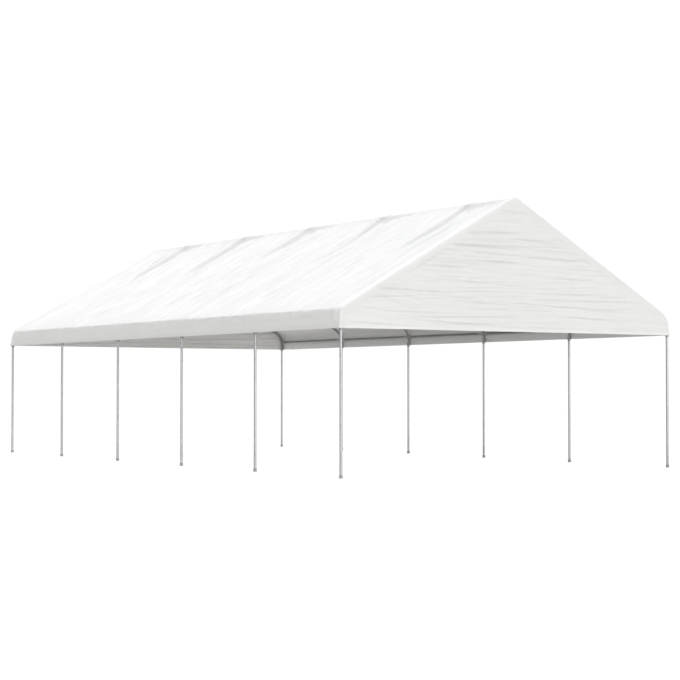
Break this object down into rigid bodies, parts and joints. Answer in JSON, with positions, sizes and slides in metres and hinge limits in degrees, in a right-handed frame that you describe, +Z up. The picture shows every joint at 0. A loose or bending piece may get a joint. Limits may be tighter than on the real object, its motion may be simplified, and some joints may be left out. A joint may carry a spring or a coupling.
{
  "type": "party tent",
  "caption": "Long open-sided ridge tent: arches of steel tube on upright posts under a white cloth roof with closed gables.",
  "frame": {"origin": "middle of the footprint, on the ground", "axes": "+X along the tent to its front gable, +Y across it to the far long side, +Z up"},
  "size_m": [11.1516, 5.8854, 3.8526],
  "materials": {
    "roof_cloth": "white woven sheet",
    "gable_cloth": "white woven sheet",
    "post_tube": "galvanised, with a plastic foot cap",
    "frame_tube": "galvanised",
    "connector": "galvanised, welded",
    "tie": "white elastic cord"
  },
  "bodies": {
    "root": {"post_near_1": "post_tube", "eave_connector_near_1": "connector", "rafter_near_1": "frame_tube", "post_far_1": "post_tube", "eave_connector_far_1": "connector", "rafter_far_1": "frame_tube", "ridge_connector_1": "connector", "post_near_2": "post_tube", "eave_connector_near_2": "connector", "rafter_near_2": "frame_tube", "post_far_2": "post_tube", "eave_connector_far_2": "connector", "rafter_far_2": "frame_tube", "ridge_connector_2": "connector", "post_near_3": "post_tube", "eave_connector_near_3": "connector", "rafter_near_3": "frame_tube", "post_far_3": "post_tube", "eave_connector_far_3": "connector", "rafter_far_3": "frame_tube", "ridge_connector_3": "connector", "post_near_4": "post_tube", "eave_connector_near_4": "connector", "rafter_near_4": "frame_tube", "post_far_4": "post_tube", "eave_connector_far_4": "connector", "rafter_far_4": "frame_tube", "ridge_connector_4": "connector", "post_near_5": "post_tube", "eave_connector_near_5": "connector", "rafter_near_5": "frame_tube", "post_far_5": "post_tube", "eave_connector_far_5": "connector", "rafter_far_5": "frame_tube", "ridge_connector_5": "connector", "post_near_6": "post_tube", "eave_connector_near_6": "connector", "rafter_near_6": "frame_tube", "post_far_6": "post_tube", "eave_connector_far_6": "connector", "rafter_far_6": "frame_tube", "ridge_connector_6": "connector", "eave_purlin_near_1": "frame_tube", "eave_purlin_far_1": "frame_tube", "ridge_purlin_1": "frame_tube", "eave_purlin_near_2": "frame_tube", "eave_purlin_far_2": "frame_tube", "ridge_purlin_2": "frame_tube", "eave_purlin_near_3": "frame_tube", "eave_purlin_far_3": "frame_tube", "ridge_purlin_3": "frame_tube", "eave_purlin_near_4": "frame_tube", "eave_purlin_far_4": "frame_tube", "ridge_purlin_4": "frame_tube", "eave_purlin_near_5": "frame_tube", "eave_purlin_far_5": "frame_tube", "ridge_purlin_5": "frame_tube", "roof_cover": "roof_cloth", "front_gable": "gable_cloth", "rear_gable": "gable_cloth"}
  },
  "joints": []
}
